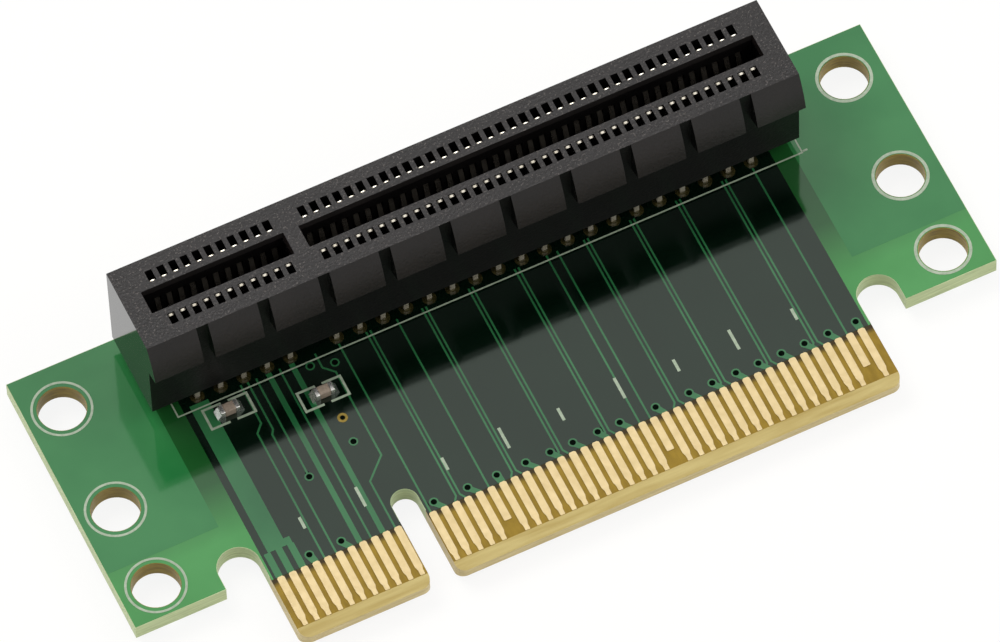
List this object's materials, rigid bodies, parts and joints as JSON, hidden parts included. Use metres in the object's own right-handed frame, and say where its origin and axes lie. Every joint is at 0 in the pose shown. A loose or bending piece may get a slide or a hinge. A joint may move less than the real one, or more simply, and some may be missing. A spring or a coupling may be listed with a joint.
{
  "type": "pcie riser card",
  "caption": "Riser card: a green circuit board with a keyed gold contact edge, mounting holes at both ends, and an upright black slotted card socket on its face near the far edge.",
  "frame": {"origin": "middle of the key notch at the contact edge, in the board's middle plane", "axes": "+X along the contact edge from the short section to the long one, +Y from the contact edge to the far edge, +Z out of the socket's mouth"},
  "size_m": [0.0742, 0.0306, 0.0137],
  "materials": {
    "board": "glossy green solder mask over glass laminate",
    "contact_gold": "satin gold plate",
    "socket_plastic": "fine-grained moulded plastic",
    "socket_contact_metal": "plated spring metal",
    "solder": "bright solder",
    "capacitor_ceramic": "brown ceramic",
    "capacitor_terminal": "tinned metal"
  },
  "bodies": {
    "root": {"circuit_board": "board", "front_pads_short_section": "contact_gold", "front_pads_long_section": "contact_gold", "back_pads_short_section": "contact_gold", "back_pads_long_section": "contact_gold", "socket_housing": "socket_plastic", "front_outer_contacts": "socket_contact_metal", "front_inner_contacts": "socket_contact_metal", "back_inner_contacts": "socket_contact_metal", "back_outer_contacts": "socket_contact_metal", "front_outer_solder_joints": "solder", "front_inner_solder_joints": "solder", "back_inner_solder_joints": "solder", "back_outer_solder_joints": "solder", "left_capacitor_body": "capacitor_ceramic", "left_capacitor_terminals": "capacitor_terminal", "left_capacitor_solder": "solder", "right_capacitor_body": "capacitor_ceramic", "right_capacitor_terminals": "capacitor_terminal", "right_capacitor_solder": "solder"}
  },
  "joints": []
}
